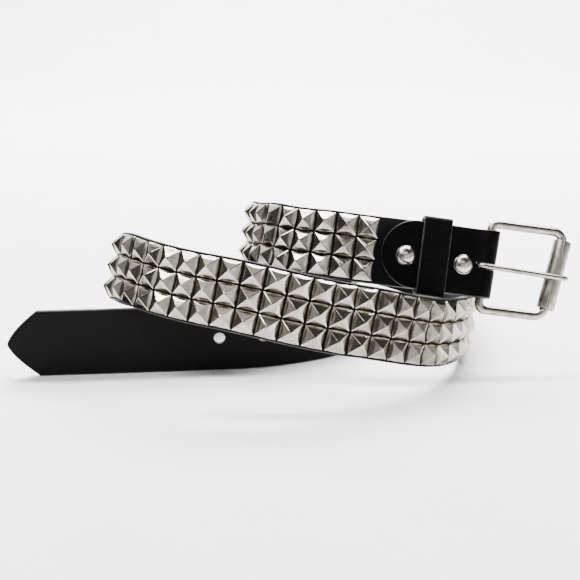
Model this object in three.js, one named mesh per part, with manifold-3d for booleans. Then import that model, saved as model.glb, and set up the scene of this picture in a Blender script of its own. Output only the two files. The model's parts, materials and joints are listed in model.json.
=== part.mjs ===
import * as THREE from "three";
import { mergeVertices } from "three/addons/utils/BufferGeometryUtils.js";
import Module from "manifold-3d";

// A studded leather belt, loosely coiled and standing on its lower edge.
// Millimetres, +Z up. The viewer stands on the -Y side, the buckle is at +X.

// Strap
const STRAP_WIDTH = 38;
const STRAP_THICK = 2.8;
const STRAP_LENGTH = 1177;
const TIP_LENGTH = 17;
const TIP_BULGE = 0.7;
const HOLE_DIAMETER = 6.5;
const HOLE_PITCH = 25;
const HOLE_COUNT = 3;
const FIRST_HOLE_FROM_TIP = 118;

// Pyramid studs
const STUD_MARGIN = 1;
const STUD_ROWS = 3;
const STUD_RISE = 4.3;
const STUD_WEB = 0.5;
const STUDS_FROM_FOLD = 67;
const BARE_TAIL = 198;

// Fold round the buckle's heel bar, and the flap that comes back over the front
const FLAP_LENGTH = 64.5;
const FOLD_BLEND = 8;

// Buckle. The slants are how far its upright bars lean from square, degrees: the fold leans with
// the heel bar and is straight again after its run. A drop is measured down the strap's width.
const WIRE_DIAMETER = 5;
const HEEL_TO_FRONT = 40;
const FRAME_HEIGHT = 48.5;
const FRAME_DROP = 1;
const FRAME_CORNER = 6.5;
const HEEL_CORNER = 4;
const HEEL_SLANT = 3.5;
const FRONT_SLANT = 9;
const SLANT_RUN = 24;
const ROLLER_DIAMETER = 9.8;
const ROLLER_BORE = 6.9;
const ROLLER_LENGTH = 39.5;
const PRONG_DIAMETER = 3.1;
const PRONG_DROP = 1.4;
const PRONG_LIFT = 1.5;
const PRONG_PAST_ROLLER = 0.8;

// Keeper and snaps
const KEEPER_WIDTH = 16;
const KEEPER_WALL = 2;
const KEEPER_CORNER = 2.5;
const KEEPER_FROM_FOLD = 35.5;
const KEEPER_SIDE_ROOM = 1.2;
const SNAP_DIAMETER = 10.8;
const SNAP_RISE = 3.4;
const SNAP_SHANK = 4;
const SNAP_BACK_DIAMETER = 9;
const SNAP_BACK_THICK = 1;
const SNAPS = [
  { fromFold: 51.2, across: -1.4 },
  { fromFold: 18.8, across: -2 },
];

// Clearances
const GAP = 0.3;
const SLOT_ROOM = 0.7;

// The coil, a row for each bend or run, from the buckle's fold to the tail's tip.
// at: distance from the fold as a share of the strap's length. heading: direction of travel,
// degrees. height: of the strap's lower edge, as a share of its width. right, back: how far
// the strap's upper edge leans over, degrees.
const COIL = [
  { name: "fold", at: 0.0, heading: 184, height: 1.1, right: 8, back: 20 },
  { name: "buckle run", at: 0.055, heading: 178, height: 1.34, right: 8, back: 20 },
  { name: "upper bend starts", at: 0.085, heading: 158, height: 1.42, right: 8, back: 20 },
  { name: "upper bend side", at: 0.11, heading: 131, height: 1.41, right: 8, back: 20 },
  { name: "upper bend turns back", at: 0.132, heading: 107, height: 1.3, right: 8, back: 20 },
  { name: "upper bend over back", at: 0.168, heading: 84, height: 1.08, right: 8, back: 18 },
  { name: "outer back starts", at: 0.212, heading: 60, height: 0.6, right: 9, back: 16 },
  { name: "outer back", at: 0.263, heading: 10, height: 0.22, right: 10, back: 14 },
  { name: "right bend starts", at: 0.314, heading: -52, height: 0.02, right: 12, back: 14 },
  { name: "right bend", at: 0.362, heading: -88, height: 0, right: 12, back: 14 },
  { name: "right bend turns", at: 0.408, heading: -93, height: 0, right: 12, back: 14 },
  { name: "front rises", at: 0.45, heading: -123, height: 0.165, right: 12, back: 14 },
  { name: "front right", at: 0.51, heading: -162, height: 0.66, right: 12, back: 14 },
  { name: "front left", at: 0.578, heading: -200, height: 1.08, right: 12, back: 14 },
  { name: "left bend over tail", at: 0.629, heading: -234, height: 1.15, right: 12, back: 14 },
  { name: "left bend", at: 0.661, heading: -271, height: 0.95, right: 12, back: 13 },
  { name: "left bend turns back", at: 0.685, heading: -316, height: 0.64, right: 10, back: 11 },
  { name: "inner back descends", at: 0.714, heading: -342, height: 0.28, right: 6, back: 6 },
  { name: "inner back lands", at: 0.746, heading: -347, height: 0.01, right: 2, back: 1 },
  { name: "inner turn starts", at: 0.775, heading: -360, height: 0, right: 0, back: 0 },
  { name: "inner turn", at: 0.811, heading: -440, height: 0, right: 0, back: 0 },
  { name: "inner turn ends", at: 0.843, heading: -505, height: 0, right: 0, back: 0 },
  { name: "tail starts", at: 0.873, heading: -522, height: 0, right: 0, back: 0 },
  { name: "tail", at: 0.901, heading: -534, height: 0, right: 0, back: 0 },
  { name: "tip", at: 1.0, heading: -535, height: 0, right: 0, back: 0 },
];
const PATH_STEP = 2;

const LEATHER = { color: 0x0b0b0c, roughness: 0.45, metalness: 0 };
const NICKEL = { color: 0xc9c6bf, roughness: 0.18, metalness: 1 };

// Sizes that follow from the ones above.
const HALF_WIDTH = STRAP_WIDTH / 2;
const HALF_THICK = STRAP_THICK / 2;
const STUD_PITCH = (STRAP_WIDTH - 2 * STUD_MARGIN) / STUD_ROWS;
const STUD_RUN = STRAP_LENGTH - STUDS_FROM_FOLD - BARE_TAIL;
const STUD_COLUMNS = Math.round(STUD_RUN / STUD_PITCH);
const FLAP_OUT = STRAP_THICK + GAP;
const FLAP_FACE = FLAP_OUT + HALF_THICK;
const HEEL_OUT = FLAP_OUT / 2;
const FOLD_RADIUS = WIRE_DIAMETER / 2 + GAP + HALF_THICK;
const HEEL_FROM_FOLD = FOLD_RADIUS + HALF_THICK;
const PRONG_OFFSET = WIRE_DIAMETER / 2 + GAP + PRONG_DIAMETER / 2;
const SLOT_REACH = PRONG_OFFSET + PRONG_DIAMETER / 2 + GAP;
const SLOT_WIDTH = PRONG_DIAMETER + SLOT_ROOM;
const HEEL_TAN = Math.tan(THREE.MathUtils.degToRad(HEEL_SLANT));
const FRONT_TAN = Math.tan(THREE.MathUtils.degToRad(FRONT_SLANT));

const wasm = await Module();
wasm.setup();

// Solids are joined and cut between these two.
function solidOf(geometry) {
  const bare = geometry.clone();
  bare.deleteAttribute("normal");
  bare.deleteAttribute("uv");
  const merged = mergeVertices(bare, 1e-4);
  return new wasm.Manifold(
    new wasm.Mesh({
      numProp: 3,
      vertProperties: merged.attributes.position.array,
      triVerts: new Uint32Array(merged.index.array),
    }),
  );
}

function geometryOf(solid) {
  const mesh = solid.getMesh();
  const geometry = new THREE.BufferGeometry();
  geometry.setAttribute("position", new THREE.BufferAttribute(mesh.vertProperties, 3));
  geometry.setIndex(new THREE.BufferAttribute(mesh.triVerts, 1));
  return geometry;
}

// A smooth curve through a column of the coil's table that never overshoots its rows.
function column(key) {
  const rows = COIL.map((row) => ({ x: row.at * STRAP_LENGTH, y: row[key] }));
  const rise = rows.slice(1).map((row, i) => (row.y - rows[i].y) / (row.x - rows[i].x));
  const slope = rows.map((row, i) => {
    if (i === 0 || i === rows.length - 1) {
      return rise[Math.min(i, rise.length - 1)];
    }
    const before = rise[i - 1];
    const after = rise[i];
    return before * after <= 0 ? 0 : (2 * before * after) / (before + after);
  });
  return (x) => {
    const next = rows.findIndex((row) => row.x > x);
    const i = (next < 0 ? rows.length - 1 : next) - 1;
    const span = rows[i + 1].x - rows[i].x;
    const t = (x - rows[i].x) / span;
    const left = 1 - t;
    const start = (1 + 2 * t) * left * left * rows[i].y + t * left * left * span * slope[i];
    const end = t * t * (3 - 2 * t) * rows[i + 1].y - t * t * left * span * slope[i + 1];
    return start + end;
  };
}

// The strap's middle line with its three directions at every step: along, up across its width,
// and out of its studded face.
function coilPath() {
  const heading = column("heading");
  const height = column("height");
  const right = column("right");
  const back = column("back");
  const steps = Math.round(STRAP_LENGTH / PATH_STEP);
  const step = STRAP_LENGTH / steps;
  const path = [];
  let x = 0;
  let y = 0;
  for (let i = 0; i <= steps; i++) {
    const at = i * step;
    const near = Math.max(at - step, 0);
    const far = Math.min(at + step, STRAP_LENGTH);
    const climb = ((height(far) - height(near)) * STRAP_WIDTH) / (far - near);
    const level = Math.sqrt(1 - climb * climb);
    const turn = THREE.MathUtils.degToRad(heading(at));
    const along = new THREE.Vector3(Math.cos(turn) * level, Math.sin(turn) * level, climb);
    const up = new THREE.Vector3(
      Math.tan(THREE.MathUtils.degToRad(right(at))),
      Math.tan(THREE.MathUtils.degToRad(back(at))),
      1,
    );
    up.addScaledVector(along, -up.dot(along)).normalize();
    const out = new THREE.Vector3().crossVectors(up, along);
    if (i > 0) {
      x += ((path[i - 1].along.x + along.x) / 2) * step;
      y += ((path[i - 1].along.y + along.y) / 2) * step;
    }
    const lowestCorner = HALF_WIDTH * up.z + HALF_THICK * Math.abs(out.z);
    const z = height(at) * STRAP_WIDTH + lowestCorner;
    path.push({ place: new THREE.Vector3(x, y, z), along, up, out });
  }
  return path;
}

const PATH = coilPath();
const HEEL_PLACE = strapFrame(HEEL_FROM_FOLD, HEEL_OUT, HEEL_SLANT);

// A point at a distance from the fold, across the width and out of the studded face.
function onStrap(distance, across, out) {
  const share = THREE.MathUtils.clamp(distance / STRAP_LENGTH, 0, 1) * (PATH.length - 1);
  const i = Math.min(Math.floor(share), PATH.length - 2);
  const t = share - i;
  const [a, b] = [PATH[i], PATH[i + 1]];
  const beyond = distance - THREE.MathUtils.clamp(distance, 0, STRAP_LENGTH);
  const direction = (key) => a[key].clone().lerp(b[key], t).normalize();
  return a.place
    .clone()
    .lerp(b.place, t)
    .addScaledVector(direction("along"), beyond)
    .addScaledVector(direction("up"), across)
    .addScaledVector(direction("out"), out);
}

// The place of a piece built on its own axes: x towards the buckle, y across, z out.
// A slant turns y towards the buckle.
function strapFrame(distance, out, slant = 0) {
  const origin = onStrap(distance, 0, out);
  const y = onStrap(distance, 1, out).sub(origin).normalize();
  const z = onStrap(distance, 0, out + 1).sub(origin);
  const x = new THREE.Vector3().crossVectors(y, z).normalize();
  z.crossVectors(x, y);
  const turn = new THREE.Matrix4().makeRotationZ(-THREE.MathUtils.degToRad(slant));
  return new THREE.Matrix4().makeBasis(x, y, z).setPosition(origin).multiply(turn);
}

// A closed body through rings of points that all have the same number of points.
function loft(rings, closed = false) {
  const count = rings[0].length;
  const index = [];
  const spans = closed ? rings.length : rings.length - 1;
  for (let i = 0; i < spans; i++) {
    const next = (i + 1) % rings.length;
    for (let j = 0; j < count; j++) {
      const k = (j + 1) % count;
      const [a, b] = [i * count + j, i * count + k];
      const [c, d] = [next * count + k, next * count + j];
      index.push(a, b, c, a, c, d);
    }
  }
  if (!closed) {
    const far = (rings.length - 1) * count;
    for (let j = 1; j < count - 1; j++) {
      index.push(0, j + 1, j);
      index.push(far, far + j, far + j + 1);
    }
  }
  const geometry = new THREE.BufferGeometry().setFromPoints(rings.flat());
  geometry.setIndex(index);
  return geometry;
}

// The strap's section at one place. The angle turns its outer face round the heel bar: a right
// angle on the flap, the opposite on the strap itself.
function strapRing(distance, out, angle, halfWidth) {
  const along = -Math.cos(angle) * HALF_THICK;
  const away = Math.sin(angle) * HALF_THICK;
  const slant = halfWidth * foldSlant(distance);
  return [
    onStrap(distance + along + slant, -halfWidth, out + away),
    onStrap(distance - along + slant, -halfWidth, out - away),
    onStrap(distance - along - slant, halfWidth, out - away),
    onStrap(distance + along - slant, halfWidth, out + away),
  ];
}

// How far the strap leans towards the buckle for its width, which fades out along the strap.
function foldSlant(distance) {
  const past = THREE.MathUtils.clamp((distance - HEEL_FROM_FOLD) / SLANT_RUN, 0, 1);
  return HEEL_TAN * (1 - past * past * (3 - 2 * past));
}

// How far a layer stands off its own line where it opens to pass round the heel bar.
function foldOpening(distance) {
  const past = THREE.MathUtils.clamp((distance - HEEL_FROM_FOLD) / FOLD_BLEND, 0, 1);
  return (FOLD_RADIUS - HEEL_OUT) * (1 - past * past * (3 - 2 * past));
}

function strapSolid() {
  const rings = [];
  const quarter = Math.PI / 2;
  const flapCentre = FLAP_LENGTH - HALF_WIDTH;
  for (let turn = 1; turn <= 7; turn++) {
    const angle = (turn / 8) * quarter;
    const distance = flapCentre + HALF_WIDTH * Math.cos(angle);
    rings.push(strapRing(distance, FLAP_OUT, quarter, HALF_WIDTH * Math.sin(angle)));
  }
  const blend = [1, 0.75, 0.5, 0.25].map((share) => HEEL_FROM_FOLD + share * FOLD_BLEND);
  for (const distance of [flapCentre, KEEPER_FROM_FOLD, ...blend]) {
    rings.push(strapRing(distance, FLAP_OUT + foldOpening(distance), quarter, HALF_WIDTH));
  }
  for (let turn = 0; turn <= 8; turn++) {
    const angle = quarter - (turn / 8) * Math.PI;
    const distance = HEEL_FROM_FOLD - FOLD_RADIUS * Math.cos(angle);
    rings.push(strapRing(distance, HEEL_OUT + FOLD_RADIUS * Math.sin(angle), angle, HALF_WIDTH));
  }
  for (const distance of blend.reverse()) {
    rings.push(strapRing(distance, -foldOpening(distance), -quarter, HALF_WIDTH));
  }
  const shoulder = STRAP_LENGTH - TIP_LENGTH;
  const lead = Math.ceil((STUDS_FROM_FOLD - blend[3]) / STUD_PITCH) - 1;
  for (let i = -lead; STUDS_FROM_FOLD + i * STUD_PITCH < shoulder - STUD_PITCH / 4; i++) {
    rings.push(strapRing(STUDS_FROM_FOLD + i * STUD_PITCH, 0, -quarter, HALF_WIDTH));
  }
  for (const share of [1, 0.75, 0.5, 0.3, 0.15, 0.05, 0.01]) {
    const halfWidth = HALF_WIDTH * Math.pow(share, TIP_BULGE);
    rings.push(strapRing(STRAP_LENGTH - share * TIP_LENGTH, 0, -quarter, halfWidth));
  }
  let strap = solidOf(loft(rings));
  const slot = new THREE.BoxGeometry(SLOT_REACH + 2 * HEEL_FROM_FOLD, SLOT_WIDTH, 4 * HEEL_FROM_FOLD);
  slot.translate(HEEL_FROM_FOLD - SLOT_REACH / 2, -PRONG_DROP, 0);
  slot.applyMatrix4(HEEL_PLACE);
  strap = strap.subtract(solidOf(slot));
  for (const { fromFold, across } of SNAPS) {
    strap = strap.subtract(holeThrough(fromFold, across, HEEL_OUT, SNAP_SHANK + 2 * GAP));
  }
  for (let i = 0; i < HOLE_COUNT; i++) {
    const distance = STRAP_LENGTH - FIRST_HOLE_FROM_TIP - i * HOLE_PITCH;
    strap = strap.subtract(holeThrough(distance, 0, 0, HOLE_DIAMETER));
  }
  return geometryOf(strap);
}

function holeThrough(distance, across, out, diameter) {
  const hole = new THREE.CylinderGeometry(diameter / 2, diameter / 2, 4 * STRAP_THICK, 16);
  hole.rotateX(Math.PI / 2);
  hole.translate(0, across, 0);
  hole.applyMatrix4(strapFrame(distance, out));
  return solidOf(hole);
}

// The whole field of studs: pyramids that meet in valleys on a thin web, just off the strap.
function studField() {
  const base = HALF_THICK + GAP;
  const lines = STUD_ROWS + 1;
  const edge = (-STUD_ROWS * STUD_PITCH) / 2;
  const points = [];
  const index = [];
  for (let i = 0; i <= STUD_COLUMNS; i++) {
    const distance = STUDS_FROM_FOLD + i * STUD_PITCH;
    for (let j = 0; j < lines; j++) {
      points.push(onStrap(distance, edge + j * STUD_PITCH, base + STUD_WEB));
    }
    points.push(onStrap(distance, -edge, base));
    points.push(onStrap(distance, edge, base));
  }
  const ring = lines + 2;
  for (let i = 0; i < STUD_COLUMNS; i++) {
    const here = i * ring;
    const next = here + ring;
    for (let j = 0; j < STUD_ROWS; j++) {
      const middle = STUDS_FROM_FOLD + (i + 0.5) * STUD_PITCH;
      const apex = points.length;
      points.push(onStrap(middle, edge + (j + 0.5) * STUD_PITCH, base + STUD_WEB + STUD_RISE));
      const corners = [here + j, here + j + 1, next + j + 1, next + j];
      corners.forEach((corner, k) => index.push(corner, corners[(k + 1) % 4], apex));
    }
    for (let j = STUD_ROWS; j < ring; j++) {
      const k = (j + 1) % ring;
      index.push(here + j, here + k, next + j, here + k, next + k, next + j);
    }
  }
  const far = STUD_COLUMNS * ring;
  for (let j = 1; j < ring - 1; j++) {
    index.push(0, j + 1, j);
    index.push(far, far + j, far + j + 1);
  }
  const geometry = new THREE.BufferGeometry().setFromPoints(points);
  geometry.setIndex(index);
  return geometry;
}

// A band round both layers of the strap.
function keeperBand() {
  const inner = bandOutline(0);
  const outer = bandOutline(KEEPER_WALL);
  outer.holes.push(inner);
  const band = new THREE.ExtrudeGeometry(outer, {
    depth: KEEPER_WIDTH,
    bevelEnabled: false,
    curveSegments: 4,
  });
  band.translate(0, 0, -KEEPER_WIDTH / 2);
  band.rotateY(Math.PI / 2);
  return band;
}

// The band's section: x through the strap's thickness, y across its width.
function bandOutline(wall) {
  const reach = HALF_WIDTH + KEEPER_SIDE_ROOM + wall;
  const depth = HEEL_OUT + HALF_THICK + GAP + wall;
  const corner = wall > 0 ? KEEPER_CORNER : KEEPER_CORNER - KEEPER_WALL;
  const outline = new THREE.Shape();
  const quarter = Math.PI / 2;
  outline.absarc(depth - corner, reach - corner, corner, 0, quarter);
  outline.absarc(corner - depth, reach - corner, corner, quarter, 2 * quarter);
  outline.absarc(corner - depth, corner - reach, corner, 2 * quarter, 3 * quarter);
  outline.absarc(depth - corner, corner - reach, corner, 3 * quarter, 4 * quarter);
  return outline;
}

// A snap on its own axis: domed cap, shank and a flat back.
function snapFastener() {
  const back = -HALF_THICK - GAP;
  const front = FLAP_FACE + GAP;
  const profile = [
    new THREE.Vector2(0, back - SNAP_BACK_THICK),
    new THREE.Vector2(SNAP_BACK_DIAMETER / 2, back - SNAP_BACK_THICK),
    new THREE.Vector2(SNAP_BACK_DIAMETER / 2, back),
    new THREE.Vector2(SNAP_SHANK / 2, back),
    new THREE.Vector2(SNAP_SHANK / 2, front),
  ];
  for (let i = 0; i <= 5; i++) {
    const angle = ((i / 5) * Math.PI) / 2;
    profile.push(
      new THREE.Vector2((SNAP_DIAMETER / 2) * Math.cos(angle), front + SNAP_RISE * Math.sin(angle)),
    );
  }
  profile[profile.length - 1].x = 0;
  const snap = new THREE.LatheGeometry(profile, 20);
  snap.rotateX(Math.PI / 2);
  return snap;
}

// A round bar along points in the buckle's x-z plane or x-y plane.
function bar(points, radii, sides, across, closed = false) {
  const rings = points.map((point, i) => {
    const count = points.length;
    const after = points[closed ? (i + 1) % count : Math.min(i + 1, count - 1)];
    const before = points[closed ? (i + count - 1) % count : Math.max(i - 1, 0)];
    const along = after.clone().sub(before).normalize();
    const side = new THREE.Vector3().crossVectors(along, across);
    return Array.from({ length: sides }, (_, j) => {
      const angle = (j / sides) * 2 * Math.PI;
      return point
        .clone()
        .addScaledVector(across, Math.cos(angle) * radii(i))
        .addScaledVector(side, Math.sin(angle) * radii(i));
    });
  });
  return loft(rings, closed);
}

// A point of the frame before its bars are slanted, on the heel bar's own axes.
function slanted(x, y) {
  const slant = THREE.MathUtils.lerp(HEEL_TAN, FRONT_TAN, x / HEEL_TO_FRONT);
  const point = new THREE.Vector3(x + y * slant, y, 0);
  return point.applyAxisAngle(new THREE.Vector3(0, 0, 1), THREE.MathUtils.degToRad(HEEL_SLANT));
}

// The buckle's frame: one wire loop, its heel bar on the y axis.
function buckleFrame() {
  const corners = [
    { x: HEEL_TO_FRONT, side: 1, radius: FRAME_CORNER },
    { x: 0, side: 1, radius: HEEL_CORNER },
    { x: 0, side: -1, radius: HEEL_CORNER },
    { x: HEEL_TO_FRONT, side: -1, radius: FRAME_CORNER },
  ];
  const points = [];
  corners.forEach(({ x, side, radius }, i) => {
    const centreX = x === 0 ? radius : x - radius;
    const centreY = side * (FRAME_HEIGHT / 2 - radius) - FRAME_DROP;
    for (let j = 0; j <= 4; j++) {
      const angle = ((i + j / 4) * Math.PI) / 2;
      const [along, across] = [radius * Math.cos(angle), radius * Math.sin(angle)];
      points.push(slanted(centreX + along, centreY + across));
    }
  });
  return bar(points, () => WIRE_DIAMETER / 2, 12, new THREE.Vector3(0, 0, 1), true);
}

function rollerTube() {
  const [inner, outer] = [ROLLER_BORE / 2, ROLLER_DIAMETER / 2];
  const end = ROLLER_LENGTH / 2;
  const profile = [
    new THREE.Vector2(inner, -end),
    new THREE.Vector2(outer, -end),
    new THREE.Vector2(outer, end),
    new THREE.Vector2(inner, end),
    new THREE.Vector2(inner, -end),
  ];
  return new THREE.LatheGeometry(profile, 20);
}

// The prong: an eye round the heel bar, then a rod that lies over the roller.
function prongRod() {
  const points = [];
  const lift = Math.tan(THREE.MathUtils.degToRad(PRONG_LIFT));
  const rod = (x, z) => new THREE.Vector3(x, x * lift - PRONG_DROP, z);
  for (let i = 0; i <= 9; i++) {
    const angle = (i / 9) * 1.5 * Math.PI;
    points.push(
      new THREE.Vector3(
        PRONG_OFFSET * Math.cos(angle),
        -PRONG_DROP,
        -PRONG_OFFSET * Math.sin(angle),
      ),
    );
  }
  const rest = ROLLER_DIAMETER / 2 + GAP + PRONG_DIAMETER / 2;
  points.push(rod(HEEL_TO_FRONT - ROLLER_DIAMETER / 2, rest));
  points.push(rod(HEEL_TO_FRONT, rest));
  const tip = HEEL_TO_FRONT + ROLLER_DIAMETER / 2 + PRONG_PAST_ROLLER;
  points.push(rod(tip - PRONG_DIAMETER / 4, rest));
  points.push(rod(tip, rest));
  const last = points.length - 1;
  const radius = (i) => (PRONG_DIAMETER / 2) * (i === last ? 0.5 : 1);
  return bar(points, radius, 10, new THREE.Vector3(0, 1, 0));
}

function piece(name, geometry, finish, place) {
  const shaded = geometry.index ? geometry.toNonIndexed() : geometry;
  shaded.computeVertexNormals();
  const mesh = new THREE.Mesh(shaded, new THREE.MeshStandardMaterial(finish));
  mesh.name = name;
  if (place) {
    place.decompose(mesh.position, mesh.quaternion, mesh.scale);
  }
  return mesh;
}

const belt = new THREE.Group();
belt.add(piece("strap", strapSolid(), LEATHER));
belt.add(piece("studs", studField(), NICKEL));
belt.add(piece("keeper", keeperBand(), LEATHER, strapFrame(KEEPER_FROM_FOLD, HEEL_OUT)));
SNAPS.forEach(({ fromFold, across }, i) => {
  const snap = snapFastener().translate(0, across, 0);
  belt.add(piece(`snap_${i + 1}`, snap, NICKEL, strapFrame(fromFold, 0)));
});
belt.add(piece("buckle_frame", buckleFrame(), NICKEL, HEEL_PLACE));
const front = new THREE.Matrix4().makeRotationZ(THREE.MathUtils.degToRad(HEEL_SLANT - FRONT_SLANT));
front.setPosition(slanted(HEEL_TO_FRONT, -FRAME_DROP)).premultiply(HEEL_PLACE);
belt.add(piece("roller", rollerTube(), NICKEL, front));
belt.add(piece("prong", prongRod(), NICKEL, HEEL_PLACE));

// The origin is on the ground, under the middle of the whole belt.
const bounds = new THREE.Box3().setFromObject(belt, true);
const middle = bounds.getCenter(new THREE.Vector3());
belt.position.set(-middle.x, -middle.y, -bounds.min.z);

const part = new THREE.Group();
part.add(belt);
export default part;
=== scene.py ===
import json
import math
import random

import bpy
from mathutils import Matrix, Vector


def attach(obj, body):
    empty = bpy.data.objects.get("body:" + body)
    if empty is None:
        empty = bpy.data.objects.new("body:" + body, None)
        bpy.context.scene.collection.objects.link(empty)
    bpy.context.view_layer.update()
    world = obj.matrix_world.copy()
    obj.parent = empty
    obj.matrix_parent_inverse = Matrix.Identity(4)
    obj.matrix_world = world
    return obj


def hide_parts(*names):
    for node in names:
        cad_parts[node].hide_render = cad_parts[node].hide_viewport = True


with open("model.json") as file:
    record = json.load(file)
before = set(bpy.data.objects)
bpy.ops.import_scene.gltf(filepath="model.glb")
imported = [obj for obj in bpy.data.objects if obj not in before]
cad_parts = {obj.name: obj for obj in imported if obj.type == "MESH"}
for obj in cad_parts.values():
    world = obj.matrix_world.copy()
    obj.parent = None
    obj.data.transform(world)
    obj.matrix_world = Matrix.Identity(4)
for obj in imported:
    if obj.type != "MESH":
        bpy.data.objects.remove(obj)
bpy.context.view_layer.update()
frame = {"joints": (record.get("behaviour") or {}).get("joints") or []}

# A studded leather belt, loosely coiled and standing on its lower edge.
# Sizes are millimetres, and onto_belt turns them to metres on the belt's own place.
MM = 0.001

STRAP_WIDTH = 38.0
STRAP_THICK = 2.8
STRAP_LENGTH = 1177.0
TIP_LENGTH = 17.0
TIP_BULGE = 0.7
HOLE_DIAMETER = 6.5
HOLE_PITCH = 25.0
HOLE_COUNT = 3
FIRST_HOLE_FROM_TIP = 118.0
EDGE_ROUND = 0.55

STUD_PITCH = 12.0
STUD_ROWS = 3
STUD_COLUMNS = 76
STUD_BASE = 11.3
STUD_RISE = 4.3
STUD_WEB = 0.5
STUDS_FROM_FOLD = 67.0
STUD_LIP = 0.3
STUD_SHOULDER = 0.95
STUD_RIM = 0.12
STUD_SKIRT = 1.75
STUD_ROLL = 0.17
STUD_RIDGE = 0.32
STUD_BLUNT = 0.1
STUD_STEPS = 8
STUD_TILT = 1.1
STUD_TWIST_SHARE = 0.6
STUD_CLEAR = 0.4
STUD_SEAT = 0.05
STUD_SEED = 11

FLAP_LENGTH = 64.5
FOLD_BLEND = 8.0

WIRE_DIAMETER = 5.0
HEEL_TO_FRONT = 40.0
FRAME_HEIGHT = 48.5
FRAME_DROP = 1.0
FRAME_CORNER = 6.5
HEEL_CORNER = 4.0
HEEL_SLANT = 3.5
FRONT_SLANT = 9.0
SLANT_RUN = 24.0
ROLLER_DIAMETER = 9.8
ROLLER_BORE = 6.9
ROLLER_LENGTH = 39.5
ROLLER_CHAMFER = 0.5
ROLLER_SEAM = 0.3
PRONG_DIAMETER = 3.1
PRONG_DROP = 1.4
PRONG_LIFT = 1.5
PRONG_PAST_ROLLER = 0.8

KEEPER_WIDTH = 16.0
KEEPER_WALL = 2.0
KEEPER_CORNER = 2.5
KEEPER_FROM_FOLD = 35.5
KEEPER_SIDE_ROOM = 1.2
KEEPER_ROUND = 0.5
SNAP_DIAMETER = 10.8
SNAP_RISE = 3.4
SNAP_SHANK = 4.0
SNAP_BACK_DIAMETER = 9.0
SNAP_BACK_THICK = 1.0
SNAPS = [(51.2, -1.4), (18.8, -2.0)]

GAP = 0.3
SLOT_ROOM = 0.7
PATH_STEP = 2.0

# Distance from the fold as a share of the strap's length, heading in degrees, height of the lower
# edge as a share of the strap's width, and how far its upper edge leans right and back in degrees.
COIL = [
    (0.0, 184, 1.1, 8, 20),
    (0.055, 178, 1.34, 8, 20),
    (0.085, 158, 1.42, 8, 20),
    (0.11, 131, 1.41, 8, 20),
    (0.132, 107, 1.3, 8, 20),
    (0.168, 84, 1.08, 8, 18),
    (0.212, 60, 0.6, 9, 16),
    (0.263, 10, 0.22, 10, 14),
    (0.314, -52, 0.02, 12, 14),
    (0.362, -88, 0, 12, 14),
    (0.408, -93, 0, 12, 14),
    (0.45, -123, 0.165, 12, 14),
    (0.51, -162, 0.66, 12, 14),
    (0.578, -200, 1.08, 12, 14),
    (0.629, -234, 1.15, 12, 14),
    (0.661, -271, 0.95, 12, 13),
    (0.685, -316, 0.64, 10, 11),
    (0.714, -342, 0.28, 6, 6),
    (0.746, -347, 0.01, 2, 1),
    (0.775, -360, 0, 0, 0),
    (0.811, -440, 0, 0, 0),
    (0.843, -505, 0, 0, 0),
    (0.873, -522, 0, 0, 0),
    (0.901, -534, 0, 0, 0),
    (1.0, -535, 0, 0, 0),
]

HALF_WIDTH = STRAP_WIDTH / 2
HALF_THICK = STRAP_THICK / 2
FLAP_OUT = STRAP_THICK + GAP
FLAP_FACE = FLAP_OUT + HALF_THICK
HEEL_OUT = FLAP_OUT / 2
FOLD_RADIUS = WIRE_DIAMETER / 2 + GAP + HALF_THICK
HEEL_FROM_FOLD = FOLD_RADIUS + HALF_THICK
PRONG_OFFSET = WIRE_DIAMETER / 2 + GAP + PRONG_DIAMETER / 2
SLOT_REACH = PRONG_OFFSET + PRONG_DIAMETER / 2 + GAP
SLOT_WIDTH = PRONG_DIAMETER + SLOT_ROOM
QUARTER = math.pi / 2
HEEL_TAN = math.tan(math.radians(HEEL_SLANT))
FRONT_TAN = math.tan(math.radians(FRONT_SLANT))


def column(key):
    """A smooth curve through one column of the coil's table that never overshoots its rows."""
    xs = [row[0] * STRAP_LENGTH for row in COIL]
    ys = [row[key] for row in COIL]
    last = len(xs) - 1
    rise = [(ys[i + 1] - ys[i]) / (xs[i + 1] - xs[i]) for i in range(last)]
    slope = [rise[0]]
    for before, after in zip(rise, rise[1:]):
        slope.append(0 if before * after <= 0 else 2 * before * after / (before + after))
    slope.append(rise[-1])

    def value(x):
        """The column's value at a distance from the fold."""
        i = next((n for n, start in enumerate(xs) if start > x), last) - 1
        span = xs[i + 1] - xs[i]
        t = (x - xs[i]) / span
        left = 1 - t
        start = (1 + 2 * t) * left * left * ys[i] + t * left * left * span * slope[i]
        return start + t * t * (3 - 2 * t) * ys[i + 1] - t * t * left * span * slope[i + 1]

    return value


def coil_path():
    """The strap's middle line: place, along, up and out at every step."""
    heading, height, right, back = (column(key) for key in (1, 2, 3, 4))
    steps = math.floor(STRAP_LENGTH / PATH_STEP + 0.5)
    step = STRAP_LENGTH / steps
    path = []
    x = y = 0.0
    for i in range(steps + 1):
        at = i * step
        near = max(at - step, 0)
        far = min(at + step, STRAP_LENGTH)
        climb = (height(far) - height(near)) * STRAP_WIDTH / (far - near)
        level = math.sqrt(1 - climb * climb)
        turn = math.radians(heading(at))
        along = Vector((math.cos(turn) * level, math.sin(turn) * level, climb))
        up = Vector((math.tan(math.radians(right(at))), math.tan(math.radians(back(at))), 1))
        up = (up - up.dot(along) * along).normalized()
        out = up.cross(along)
        if path:
            x += (path[-1][1].x + along.x) / 2 * step
            y += (path[-1][1].y + along.y) / 2 * step
        z = height(at) * STRAP_WIDTH + HALF_WIDTH * up.z + HALF_THICK * abs(out.z)
        path.append((Vector((x, y, z)), along, up, out))
    return path


PATH = coil_path()


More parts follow.
